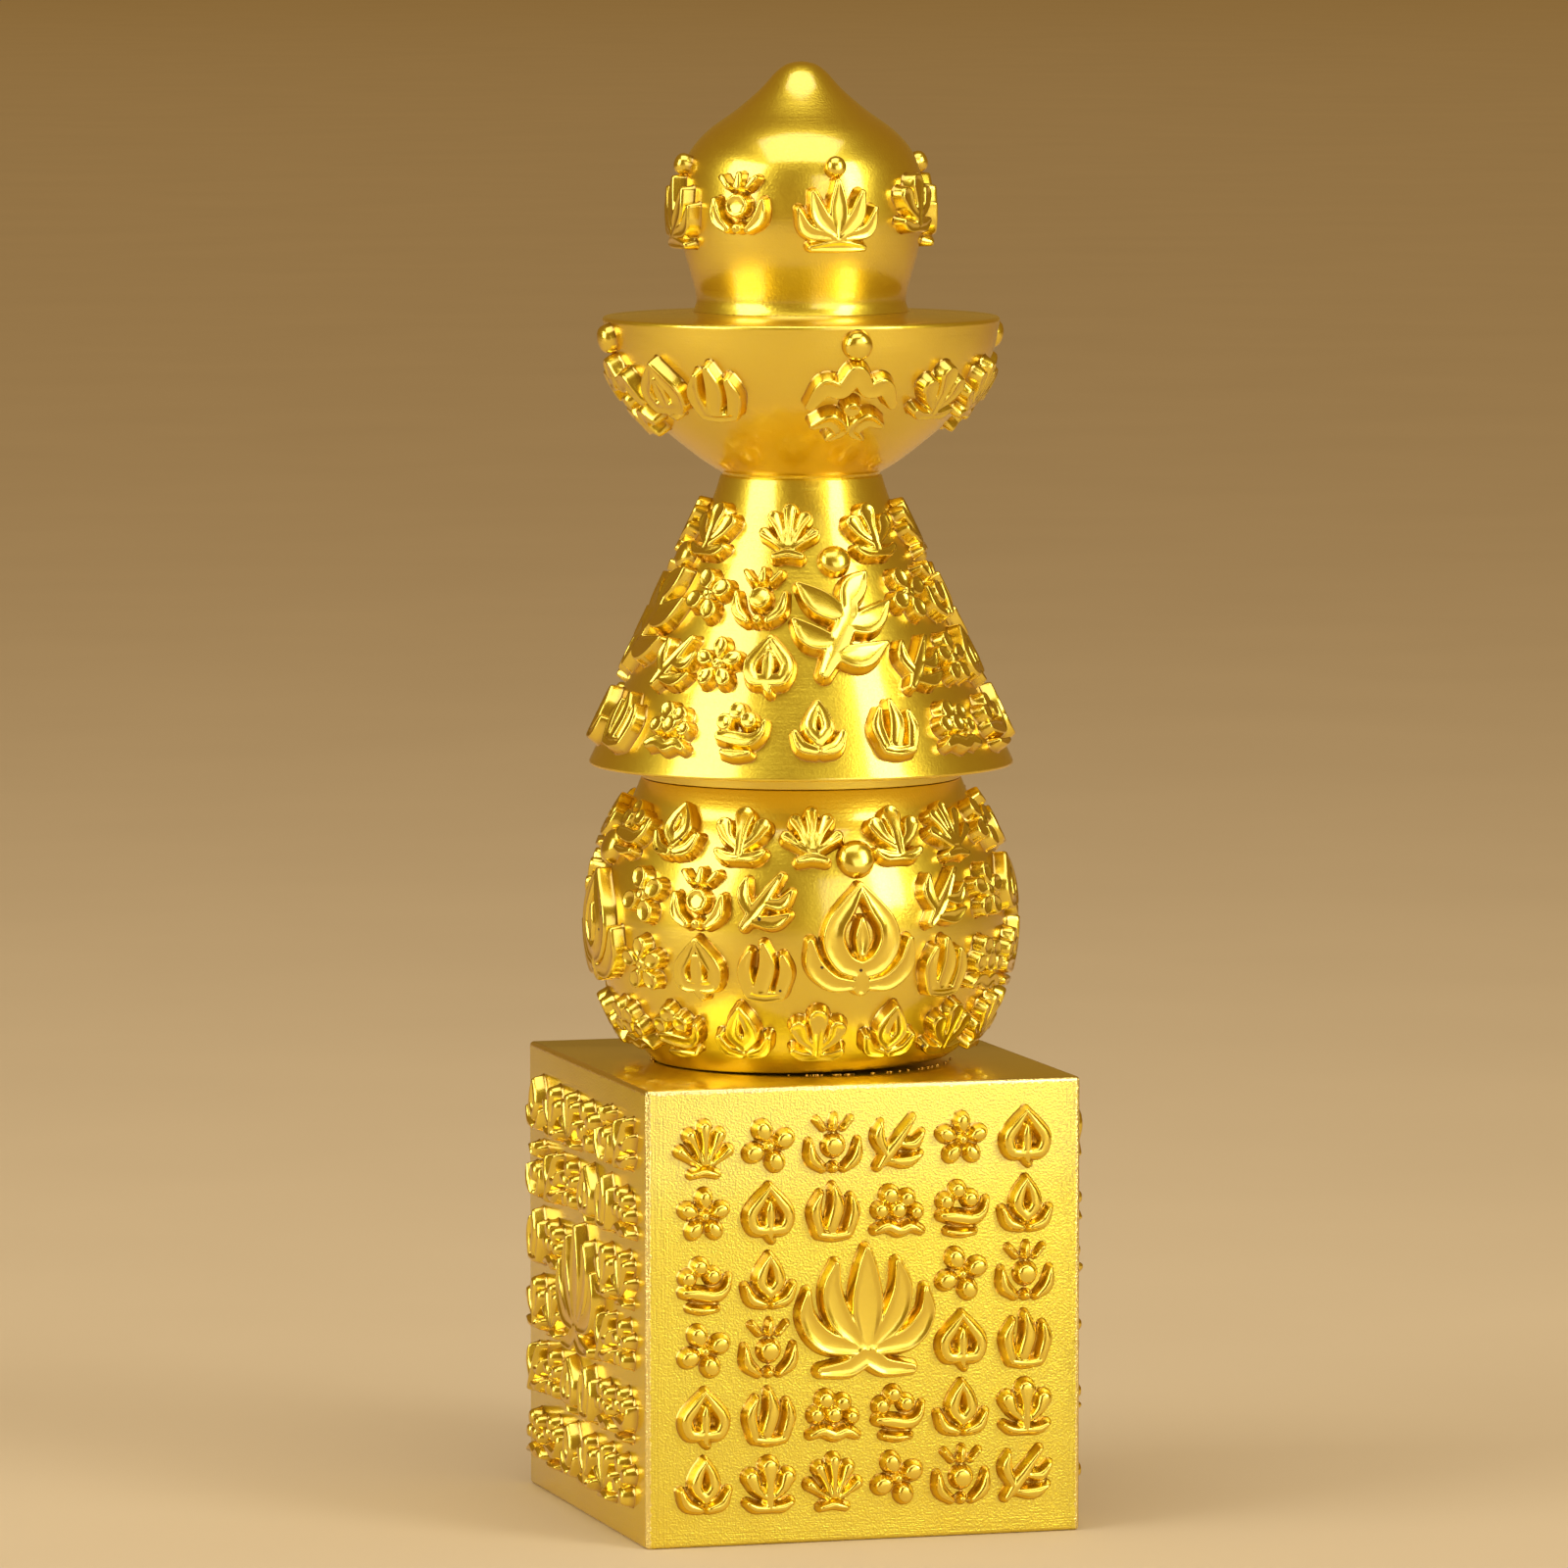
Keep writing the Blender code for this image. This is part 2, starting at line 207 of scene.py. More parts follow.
# Gold finish, and how it differs on the turned pieces and on the ornaments. Sizes and depths in mm
goldFinish = {
    "lacquer": 1.0,
    "lacquerTint": "#FFF7DA",
    "lacquerRoughness": 0.13,
    "lacquerIor": 1.7,  # above a real lacquer's 1.5, for the pale highlights
    "slant": "#FBDD90",
    "tintPatch": 9.0,  # soft patches of deeper gold
    "patchDetail": 2.0,
    "dents": 5.0,  # between soft hollows, as from hand finishing
    "dentDepth": 0.08,
    "dentStrength": 0.6,
    "grain": 0.24,  # blasted grain, coarser than fine blasting leaves so that it shows
    "grainDetail": 2.0,
    "line": 0.14,  # between sanding lines, coarser than fine paper leaves so that they show
    "lineStretch": 0.03,  # the pattern's scale along a line, against 1 across it
}
turnedFinish = {
    "body": "#F5E653",
    "deep": "#F0D641",
    "roughness": 0.33,
    "spread": 0.08,  # how far the grain moves the roughness either way
    "grainDepth": 0.024,
    "ring": 0.28,  # between lathe rings, coarser than polishing leaves so that they show
    "ringDepth": 0.022,
    "ringStrength": 0.7,
}
reliefFinish = {
    "body": "#F5E653",
    "deep": "#F0D641",
    "roughness": 0.24,
    "spread": 0.02,
    "grainDepth": 0.003,
    "footShadeColour": "#BE9A2C",  # painted shade at the foot of the ornaments' walls
    "shadeFadeHeight": 0.7,  # height in mm above which there is no painted shade
    "pinhole": "#4A2A08",
    "pinholeSpacing": 2.1,
    "pinholeReach": 0.1,  # of the spacing
    "pinholeRarity": 0.9,  # share of the places without one
}


def perMetre(size):
    return 1 / (size * mm)


def fineLines(material, coordinates, along, spacing):
    # Noise drawn out along the axes that are marked
    stretched = addNode(material, "Mapping", {}, {
        "Vector": coordinates,
        "Scale": [goldFinish["lineStretch"] if drawn else 1.0 for drawn in along],
    }).outputs["Vector"]
    return addNode(material, "TexNoise", {}, {
        "Vector": stretched,
        "Scale": perMetre(spacing),
        "Detail": 1.0,
    }).outputs["Fac"]


def platedGold(name, finish):
    # Gold-plated brass: a deep yellow metal, satin from fine blasting under the plating, and over it
    # a clear, slightly yellow lacquer that pales the highlights. Returns the material, its coordinates
    # and its normal so far, for the marks that each piece adds
    material, shader = newMaterial(name)
    coordinates = addNode(material, "TexCoord", {}, {}).outputs["Object"]
    patches = addNode(material, "TexNoise", {}, {
        "Vector": coordinates,
        "Scale": perMetre(goldFinish["tintPatch"]),
        "Detail": goldFinish["patchDetail"],
    }).outputs["Fac"]
    tint = addNode(material, "Mix", {"data_type": "RGBA"}, {
        "Factor": patches,
        6: linear(finish["body"]),
        7: linear(finish["deep"]),
    }).outputs[2]
    grain = addNode(material, "TexNoise", {}, {
        "Vector": coordinates,
        "Scale": perMetre(goldFinish["grain"]),
        "Detail": goldFinish["grainDetail"],
    }).outputs["Fac"]
    satin = addNode(material, "MapRange", {}, {
        "Value": grain,
        "To Min": finish["roughness"] - finish["spread"],
        "To Max": finish["roughness"] + finish["spread"],
    }).outputs["Result"]
    hollows = addNode(material, "TexNoise", {}, {
        "Vector": coordinates,
        "Scale": perMetre(goldFinish["dents"]),
        "Detail": 1.0,
    }).outputs["Fac"]
    dented = addNode(material, "Bump", {}, {
        "Height": hollows,
        "Strength": goldFinish["dentStrength"],
        "Distance": goldFinish["dentDepth"] * mm,
    }).outputs["Normal"]
    blasted = addNode(material, "Bump", {}, {
        "Height": grain,
        "Strength": 1.0,
        "Distance": finish["grainDepth"] * mm,
        "Normal": dented,
    }).outputs["Normal"]
    setInputs(material, shader, {
        "Base Color": tint,
        "Metallic": 1.0,
        "Roughness": satin,
        "Specular Tint": linear(goldFinish["slant"]),  # gold keeps its colour where it is seen at a slant
        "Coat Weight": goldFinish["lacquer"],
        "Coat Roughness": goldFinish["lacquerRoughness"],
        "Coat IOR": goldFinish["lacquerIor"],
        "Coat Tint": linear(goldFinish["lacquerTint"]),
    })
    return material, coordinates, blasted


def layOver(material, socket, mask, value):
    # Puts a colour or a number over what feeds one of the shader's sockets, where the mask is 1
    shader = material.node_tree.nodes["Principled BSDF"]
    below = shader.inputs[socket].links[0].from_socket
    kind, first, result = ("FLOAT", 2, 0) if isinstance(value, float) else ("RGBA", 6, 2)
    mix = addNode(material, "Mix", {"data_type": kind}, {"Factor": mask, first: below, first + 1: value})
    setInputs(material, shader, {socket: mix.outputs[result]})


def finishNormal(material, normal):
    setInputs(material, material.node_tree.nodes["Principled BSDF"], {"Normal": normal})
    return material


def turnedGoldFinish():
    # Rings round the axis from turning and polishing on a lathe
    material, coordinates, normal = platedGold("gold-plated brass, turned", turnedFinish)
    rings = addNode(material, "Bump", {}, {
        "Height": fineLines(material, coordinates, (True, True, False), turnedFinish["ring"]),
        "Strength": turnedFinish["ringStrength"],
        "Distance": turnedFinish["ringDepth"] * mm,
        "Normal": normal,
    })
    return finishNormal(material, rings.outputs["Normal"])


def reliefGoldFinish(name, pinholes):
    # The ornaments' own skin: cast, then burnished a little brighter than the ground, with painted shade
    # at the foot of the walls.
    # Where the casting was porous, a few dark pinholes
    material, coordinates, normal = platedGold(name, reliefFinish)
    # "rise" is each point's height above the ground in mm: the foot of the walls gets painted shade, a
    # browner gold
    height = addNode(material, "Attribute", {"attribute_name": "rise"}, {}).outputs["Fac"]
    paintedFootShade = addNode(material, "MapRange", {}, {
        "Value": height,
        "From Min": 0.0,
        "From Max": reliefFinish["shadeFadeHeight"],
        "To Min": 1.0,
        "To Max": 0.0,
    }).outputs["Result"]
    # Painted shade: browner gold at the foot of the ornaments' walls, fading out with height
    layOver(material, "Base Color", paintedFootShade, linear(reliefFinish["footShadeColour"]))
    if pinholes:
        cells = addNode(material, "TexVoronoi", {}, {
            "Vector": coordinates,
            "Scale": perMetre(reliefFinish["pinholeSpacing"]),
        })
        close = addNode(material, "Math", {"operation": "LESS_THAN"}, {
            0: cells.outputs["Distance"],
            1: reliefFinish["pinholeReach"],
        }).outputs[0]
        chance = addNode(material, "SeparateColor", {}, {"Color": cells.outputs["Color"]}).outputs[0]
        rare = addNode(material, "Math", {"operation": "GREATER_THAN"}, {
            0: chance,
            1: reliefFinish["pinholeRarity"],
        }).outputs[0]
        hole = addNode(material, "Math", {"operation": "MULTIPLY"}, {0: close, 1: rare}).outputs[0]
        layOver(material, "Base Color", hole, linear(reliefFinish["pinhole"]))
    return finishNormal(material, normal)


turnedGold = turnedGoldFinish()
reliefGold = reliefGoldFinish("gold-plated brass, cast relief", False)
porousGold = reliefGoldFinish("gold-plated brass, porous cast relief", True)
print("Finishes made")


# Ornament designs in millimetres: clouds, leaves, lotuses and flames. Each stroke is a row of
# (across, up, half width) points that it runs through
def mirrored(*strokes):
    return strokes + tuple(tuple((-x, y, w) for x, y, w in stroke) for stroke in strokes)


def bead(x, y, radius):
    # A stroke too short to see, so it shows as a round
    return ((x, y, radius), (x + 0.02, y, radius))


def petals(count, inner, outer, width):
    # Each petal is (distance from the middle, share of the full width) at its root, belly and tip
    turns = [2 * math.pi * (k + 0.25) / count for k in range(count)]
    shares = ((inner, 0.6), ((inner + outer) * 0.52, 1.0), (outer, 0.55))
    return tuple(tuple((r * math.cos(t), r * math.sin(t), width * k) for r, k in shares) for t in turns)


smallOrnaments = {
    "trefoil": mirrored(
        ((-0.5, -1.4, 0.6), (-1.5, -0.4, 0.85), (-2.0, 0.7, 1.1)),
        ((-0.2, -2.6, 0.65), (-1.5, -2.5, 0.75), (-2.4, -2.0, 0.6)),
    ) + (
        ((0.0, -2.2, 0.75), (0.0, 0.2, 0.85), (0.0, 1.8, 1.25)),
    ),
    "cloudTail": (
        bead(-1.8, 0.6, 1.1), bead(-0.5, 1.8, 1.1), bead(0.9, 0.8, 1.1),
        ((-2.2, -0.9, 0.75), (-0.6, -1.1, 0.95), (1.2, -1.3, 0.9), (2.3, -0.6, 0.7), (2.7, 0.7, 0.5)),
        ((-1.6, -2.6, 0.55), (-0.2, -2.8, 0.65), (1.4, -2.7, 0.5)),
    ),
    "flame": (
        ((-1.7, -1.9, 0.85), (-2.1, 0.1, 0.9), (-1.5, 1.9, 0.55)),
        ((-0.3, -1.6, 1.0), (0.3, 0.6, 1.05), (-0.1, 2.7, 0.55)),
        ((1.7, -1.9, 0.85), (2.2, -0.1, 0.9), (1.9, 1.5, 0.55)),
        ((-1.6, -2.4, 0.7), (0.0, -2.6, 0.75), (1.6, -2.4, 0.7)),
    ),
    "blossom": petals(5, 1.1, 2.5, 1.05) + (bead(0.0, 0.0, 0.8),),
    "pearl": mirrored(
        ((-1.2, -2.6, 0.6), (-2.4, -1.5, 0.85), (-2.7, 0.3, 0.5)),
        ((-1.1, 1.7, 0.5), (-1.9, 2.6, 0.5)),
    ) + (
        bead(0.0, -0.2, 1.4),
        ((0.0, 1.8, 0.65), (0.1, 2.9, 0.5)),
        bead(0.0, -2.5, 0.7),
    ),
    "palmette": mirrored(
        ((-0.3, -1.6, 0.5), (-1.0, 0.1, 0.65), (-1.6, 1.4, 0.9)),
        ((-0.6, -1.8, 0.5), (-1.7, -1.0, 0.6), (-2.6, -0.3, 0.8)),
    ) + (
        ((0.0, -1.6, 0.55), (0.0, 0.5, 0.7), (0.0, 2.2, 0.95)),
        ((-1.4, -2.8, 0.6), (0.0, -2.5, 0.7), (1.4, -2.8, 0.6)),
    ),
    "bud": mirrored(
        ((0.0, -1.3, 0.8), (-0.95, -0.1, 0.95), (-0.7, 1.3, 0.85), (0.0, 2.7, 0.55)),
        ((-0.5, -2.4, 0.7), (-1.9, -1.9, 0.85), (-2.6, -0.5, 0.6)),
    ),
    "cloudPuffs": (
        bead(-0.9, 1.5, 1.2), bead(1.0, 1.1, 1.1),
        bead(-1.9, -0.1, 1.1), bead(0.0, -0.1, 1.15), bead(2.0, -0.4, 1.0),
        ((-2.5, -2.2, 0.65), (-1.2, -1.8, 0.85), (0.2, -2.3, 0.85), (1.4, -1.9, 0.8), (2.6, -2.4, 0.6)),
    ),
    "figLeaf": mirrored(
        ((-0.2, -1.7, 0.8), (-1.6, -1.5, 0.95), (-2.0, 0.0, 0.95), (-1.0, 1.5, 0.85), (0.0, 2.9, 0.5)),
    ) + (
        ((0.4, -2.9, 0.5), (0.0, -2.2, 0.65), (0.0, 0.0, 0.9), (0.0, 1.2, 0.6)),
    ),
    "leafSpray": (
        ((-2.2, -2.6, 0.65), (-0.6, -0.6, 0.9), (1.6, 2.5, 0.55)),
        ((-1.3, -1.4, 0.65), (-2.2, 0.5, 0.9), (-1.9, 2.1, 0.5)),
        ((-0.9, -2.0, 0.65), (1.0, -2.1, 0.9), (2.5, -1.4, 0.5)),
        ((0.1, -0.2, 0.6), (1.7, -0.3, 0.85), (2.7, 0.9, 0.5)),
    ),
    "quatrefoil": petals(4, 1.1, 2.4, 1.2) + (bead(0.0, 0.0, 0.8),),
}
largeOrnaments = {
    "block": mirrored(
        ((-0.8, -3.4, 1.0), (-3.0, -0.6, 1.5), (-3.9, 2.4, 1.3), (-3.4, 5.2, 0.6)),
        ((-1.2, -3.9, 1.0), (-4.7, -2.9, 1.45), (-6.6, -0.4, 1.15), (-6.5, 2.4, 0.5)),
    ) + (
        ((0.0, -3.6, 1.1), (0.0, 0.6, 1.95), (0.0, 4.2, 1.4), (0.0, 6.7, 0.6)),
        ((-5.0, -6.2, 0.8), (-2.0, -5.9, 1.2), (0.0, -4.8, 1.3), (2.0, -5.9, 1.2), (5.0, -6.2, 0.8)),
    ),
    "globe": mirrored(
        (
            (0.0, -3.4, 1.1), (-1.8, -2.6, 1.3), (-2.9, -0.7, 1.35), (-2.7, 1.2, 1.25),
            (-1.5, 3.0, 1.1), (0.0, 5.2, 0.6),
        ),
        ((-0.9, -4.9, 0.85), (-3.0, -4.6, 1.15), (-4.8, -2.9, 1.15), (-5.3, -0.4, 0.6)),
    ) + (
        ((0.0, -1.5, 0.75), (0.0, 0.0, 1.0), (0.0, 1.8, 0.5)),
        ((0.0, -5.3, 1.0), (0.0, -3.6, 1.0)),
    ),
    "cone": (
        ((-2.7, -5.4, 0.9), (-1.0, -2.2, 1.35), (0.4, 1.0, 1.3), (0.8, 2.8, 1.1)),
        ((0.5, 2.4, 1.0), (1.4, 4.2, 1.6), (2.7, 5.8, 0.6)),
        ((0.2, 0.9, 0.9), (-2.1, 2.5, 1.7), (-4.1, 4.7, 0.6)),
        ((0.4, -0.1, 0.9), (2.8, 0.5, 1.7), (5.0, 2.4, 0.6)),
        ((-1.2, -1.9, 0.9), (-3.4, -1.3, 1.6), (-5.0, 0.6, 0.6)),
        ((-1.3, -3.2, 0.9), (1.4, -3.5, 1.65), (4.2, -2.2, 0.6)),
    ),
    "bowl": mirrored(
        ((-3.5, -2.5, 0.7), (-1.9, -1.8, 1.1), (-0.7, -3.2, 1.0), (-1.7, -4.4, 0.6)),
    ) + (
        (
            (-4.3, 0.2, 0.8), (-3.1, 2.3, 1.2), (-1.4, 2.0, 1.1), (0.0, 3.8, 1.2),
            (1.4, 2.0, 1.1), (3.1, 2.3, 1.2), (4.3, 0.2, 0.8),
        ),
        bead(0.0, -0.3, 1.1),
    ),
    "jewel": mirrored(
        ((-0.3, -2.0, 0.7), (-1.8, -0.3, 1.1), (-2.5, 2.1, 0.6)),
        ((-0.8, -2.3, 0.65), (-3.1, -1.6, 0.95), (-4.0, 0.5, 0.5)),
    ) + (
        ((0.0, -2.2, 0.8), (0.0, 0.4, 1.2), (0.0, 3.2, 0.6)),
        ((-2.6, -3.4, 0.65), (0.0, -3.2, 0.9), (2.6, -3.4, 0.65)),
    ),
}
# Drawing them, sizes in mm. A section is (distance in from the outline, height), with the outline itself
# a little sunk. The spread is added to every stroke's half width
drawing = {
    "step": 0.12,  # grid that the ornaments are drawn on
    "margin": 0.4,  # grid round the strokes
    "outside": -0.5,  # the field's value well outside the strokes
    "webbing": 0.07,  # how softly strokes run together
    "weld": 0.02,
    "block": {
        "spread": 0.1,
        "section": (
            (0, -0.06), (0.1, 0.05), (0.22, 0.26), (0.4, 0.95),
            (0.52, 1.25), (0.66, 1.41), (0.9, 1.47),
        ),
    },
    "turned": {
        "spread": 0.2,
        "section": (
            (0, -0.06), (0.1, 0.05), (0.2, 0.25), (0.36, 1.08), (0.46, 1.38),
            (0.55, 1.48), (0.66, 1.44), (0.8, 1.34), (1.1, 1.3),
        ),
    },
    "large": {
        "spread": 0.2,
        "section": (
            (0, -0.06), (0.1, 0.06), (0.2, 0.3), (0.4, 1.15), (0.5, 1.42),
            (0.6, 1.52), (0.72, 1.5), (0.9, 1.38), (1.3, 1.34),
        ),
    },
    "smallFaces": 1000,
    "largeFaces": 3000,
    "stride": 5,  # designs skipped from one place to the next, so that neighbours differ
}


def throughPoints(points, spacing):
    # Smooth curve that runs through all its (across, up, half width) points
    p = np.array(points, float)
    ends = np.vstack([2 * p[0] - p[1], p, 2 * p[-1] - p[-2]])
    curve = []
    for k in range(len(p) - 1):
        a, b, c, d = ends[k : k + 4]
        count = max(2, int(np.hypot(*(c - b)[:2]) / spacing))
        t = np.linspace(0, 1, count, endpoint=False)[:, None]
        bend, twist = 2 * a - 5 * b + 4 * c - d, 3 * b - a - 3 * c + d
        curve.append(0.5 * (2 * b + (c - a) * t + bend * t**2 + twist * t**3))
    return np.vstack(curve + [p[-1:]])


def strokeField(across, up, strokes, spread):
    # Above 0 inside the strokes: how far in from their edge, running softly together where they meet
    softness = drawing["webbing"]
    total = np.zeros_like(across)
    for stroke in strokes:
        x, y, halfWidth = throughPoints(stroke, drawing["step"]).T
        away = np.hypot(across[:, None] - x, up[:, None] - y)
        inside = (halfWidth + spread - away).max(axis=1)
        total += np.exp(np.clip(inside / softness, -60, 60))  # clipped to keep exp in range
    return softness * np.log(total)


def pointsOf(piece):
    points = np.empty(len(piece.data.vertices) * 3, np.float32)
    piece.data.vertices.foreach_get("co", points)
    return points.reshape(-1, 3)


def makeMaster(name, strokes, relief, faces):
    # A grid takes the strokes' field as its height, is cut along the section's levels, then gets the
    # section's heights. Masters are in mm
    reach = max(max(abs(x), abs(y)) + w for stroke in strokes for x, y, w in stroke) + drawing["margin"]
    count = int(2 * reach / drawing["step"])
    deselectAll()
    bpy.ops.mesh.primitive_grid_add(x_subdivisions=count, y_subdivisions=count, size=2 * reach)
    master = bpy.context.object
    master.name = name
    levels, heights = zip(*relief["section"])

    points = pointsOf(master)
    field = strokeField(points[:, 0], points[:, 1], strokes, relief["spread"])
    points[:, 2] = np.clip(field, drawing["outside"], None)
    master.data.vertices.foreach_set("co", points.ravel())
    bpy.ops.object.mode_set(mode="EDIT")
    for level in levels:
        bpy.ops.mesh.select_all(action="SELECT")
        bpy.ops.mesh.bisect(
            plane_co=(0, 0, level), plane_no=(0, 0, 1),
            clear_inner=level == 0,  # cuts away the grid outside the outline
            threshold=1e-5,
        )
    bpy.ops.object.mode_set(mode="OBJECT")

    points = pointsOf(master)
    points[:, 2] = np.interp(points[:, 2], levels, heights)
    master.data.vertices.foreach_set("co", points.ravel())
    bpy.ops.object.mode_set(mode="EDIT")
    bpy.ops.mesh.select_all(action="SELECT")
    bpy.ops.mesh.remove_doubles(threshold=drawing["weld"])
    bpy.ops.mesh.quads_convert_to_tris()
    bpy.ops.object.mode_set(mode="OBJECT")
    bpy.ops.object.modifier_add(type="DECIMATE")
    master.modifiers["Decimate"].ratio = min(1.0, faces / len(master.data.polygons))
    bpy.ops.object.modifier_apply(modifier="Decimate")
    return master


bossShape = {
    "sides": 28,
    # (share of the radius, height in mm): a soft foot under a plain dome
    "rings": (
        (1.0, -0.05), (0.95, 0.1), (0.91, 0.55), (0.84, 0.95), (0.7, 1.25),
        (0.52, 1.42), (0.34, 1.5), (0.16, 1.54), (0.0, 1.55),
    ),
}


def makeBoss(radius):
    # A round button with a domed top, in mm
    deselectAll()
    outline = [(radius * share, height) for share, height in bossShape["rings"]]
    bpy.ops.mesh.primitive_circle_add(vertices=bossShape["sides"], radius=outline[0][0], fill_type="NGON")
    boss = bpy.context.object
    boss.data.transform(Matrix.Translation((0, 0, outline[0][1])))
    bpy.ops.object.mode_set(mode="EDIT")
    bpy.ops.mesh.select_all(action="SELECT")
    for (wide, low), (narrow, high) in zip(outline, outline[1:-1]):
        bpy.ops.mesh.inset(thickness=wide - narrow, depth=high - low)
    bpy.ops.mesh.poke(offset=outline[-1][1] - outline[-2][1])
    bpy.ops.object.mode_set(mode="OBJECT")
    return boss


def makeSmallSet(name):
    return [
        makeMaster(name + " " + design, strokes, drawing[name], drawing["smallFaces"])
        for design, strokes in smallOrnaments.items()
    ]


blockMasters = makeSmallSet("block")
turnedMasters = makeSmallSet("turned")
largeMasters = {
    piece: makeMaster("large " + piece, strokes, drawing["large"], drawing["largeFaces"])
    for piece, strokes in largeOrnaments.items()
}
print("Ornaments drawn, faces each:", [len(m.data.polygons) for m in blockMasters + turnedMasters])


# Laying the ornaments on the pieces
def copyOf(master, material):
    copy = master.copy()
    copy.data = master.data.copy()
    copy.data.materials.clear()
    copy.data.materials.append(material)
    bpy.context.scene.collection.objects.link(copy)
    return copy


def layOn(master, place, material, upShift=0.0):
    # A copy of a master whose points are moved onto a piece's surface. place takes and gives metres
    copy = copyOf(master, material)
    flat = pointsOf(copy)
    rise = copy.data.attributes.new("rise", "FLOAT", "POINT")
    rise.data.foreach_set("value", np.ascontiguousarray(flat[:, 2]))
    laid = place(flat[:, 0] * mm, (flat[:, 1] + upShift) * mm, flat[:, 2] * mm)
    copy.data.vertices.foreach_set("co", np.stack(laid, axis=1).astype(np.float32).ravel())
    copy.data.update()
    return copy


def joinAll(name, body, ornaments, node):
    deselectAll()
    for part in [body] + ornaments:
        part.select_set(True)
    bpy.context.view_layer.objects.active = body
    bpy.ops.object.join()
    body.name = name
    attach(body, "root")
    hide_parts(node)
    print(name, "has", sum(len(p.vertices) - 2 for p in body.data.polygons), "triangles")


# Block, in mm
block = {
    "width": 48.0,
    "height": 48.8,
    "edge": 0.45,
    "edgeSegments": 4,
    "columns": 6,
    "pitchAcross": 7.1,
    "pitchUp": 7.2,
    "gridCentre": 24.6,
}
blockFinish = {
    "body": "#F5EE58",  # a little greener than the turned pieces
    "deep": "#F0DF45",
    "roughness": 0.38,
    "spread": 0.07,
    "grainDepth": 0.11,
    "border": 3.4,  # upright sanding beside the upright edges
    "borderFull": 0.6,  # of the border's width, where it reaches full depth
    "borderDepth": 0.07,
    "footBand": 4.0,  # level sanding along the foot
    "footFull": 0.4,  # of the band's height, up to which it has its full depth
    "footDepth": 0.06,
    "topSkin": 0.1,  # below the top, where its own finish starts
    "topRoughness": 0.34,
    "topFlatness": 0.85,  # share of the grain and hollows that is smoothed away there
    "wornAndLitWidth": 0.5,  # width of the bright line along the edges, wear and painted highlight together
    "wornAndLitRagged": 0.35,  # how far its border wanders
    "wornAndLitGrain": 0.5,
    "wornAndLitGrainDetail": 3.0,
    # pale gold of the rubbed edges, also a painted highlight
    "wornAndLitColour": "#FFF3A6",
    "wornAndLitRoughness": 0.2,
}


def polishTop(material, upright, normal):
    # The flat top is smoother than the sides, so it mirrors what stands on it
    onTop = addNode(material, "Math", {"operation": "GREATER_THAN"}, {
        0: upright,
        1: (block["height"] - blockFinish["topSkin"]) * mm,
    }).outputs[0]
    layOver(material, "Roughness", onTop, blockFinish["topRoughness"])
    share = addNode(material, "Math", {"operation": "MULTIPLY"}, {0: onTop, 1: blockFinish["topFlatness"]})
    flatter = addNode(material, "Mix", {"data_type": "VECTOR"}, {
        "Factor": share.outputs[0],
        4: normal,
        5: addNode(material, "NewGeometry", {}, {}).outputs["Normal"],
    }).outputs[1]
    return addNode(material, "VectorMath", {"operation": "NORMALIZE"}, {0: flatter}).outputs["Vector"]


def brightenWornAndLitEdges(material, coordinates, acrossX, acrossY, upright):
    # The block's edges are worn bright and carry a painted highlight, in a thin line with a ragged border
    side = (block["width"] / 2 - blockFinish["wornAndLitWidth"]) * mm
    top = (block["height"] - blockFinish["wornAndLitWidth"]) * mm
    speckle = addNode(material, "TexNoise", {}, {
        "Vector": coordinates,
        "Scale": perMetre(blockFinish["wornAndLitGrain"]),
        "Detail": blockFinish["wornAndLitGrainDetail"],
    }).outputs["Fac"]
    centred = addNode(material, "Math", {"operation": "SUBTRACT"}, {0: speckle, 1: 0.5}).outputs[0]
    wander = addNode(material, "Math", {"operation": "MULTIPLY"}, {
        0: centred,
        1: 2 * blockFinish["wornAndLitRagged"] * mm,
    }).outputs[0]
    near = []
    for distance, limit in ((acrossX, side), (acrossY, side), (upright, top)):
        reach = addNode(material, "Math", {"operation": "ADD"}, {0: distance, 1: wander}).outputs[0]
        past = addNode(material, "Math", {"operation": "GREATER_THAN"}, {0: reach, 1: limit}).outputs[0]
        near.append(past)
    sides = addNode(material, "Math", {"operation": "ADD"}, {0: near[0], 1: near[1]}).outputs[0]
    faces = addNode(material, "Math", {"operation": "ADD"}, {0: sides, 1: near[2]}).outputs[0]
    # An edge is where two faces are near, so the count is above one and a half
    edge = addNode(material, "Math", {"operation": "GREATER_THAN"}, {0: faces, 1: 1.5}).outputs[0]
    # Painted highlight together with wear: a pale gold, glossier line on the edges
    layOver(material, "Base Color", edge, linear(blockFinish["wornAndLitColour"]))
    layOver(material, "Roughness", edge, blockFinish["wornAndLitRoughness"])


def scratch(material, lines, where, depth, normal):
    masked = addNode(material, "Math", {"operation": "MULTIPLY"}, {0: lines, 1: where}).outputs[0]
    return addNode(material, "Bump", {}, {
        "Height": masked,
        "Strength": 1.0,
        "Distance": depth * mm,
        "Normal": normal,
    }).outputs["Normal"]


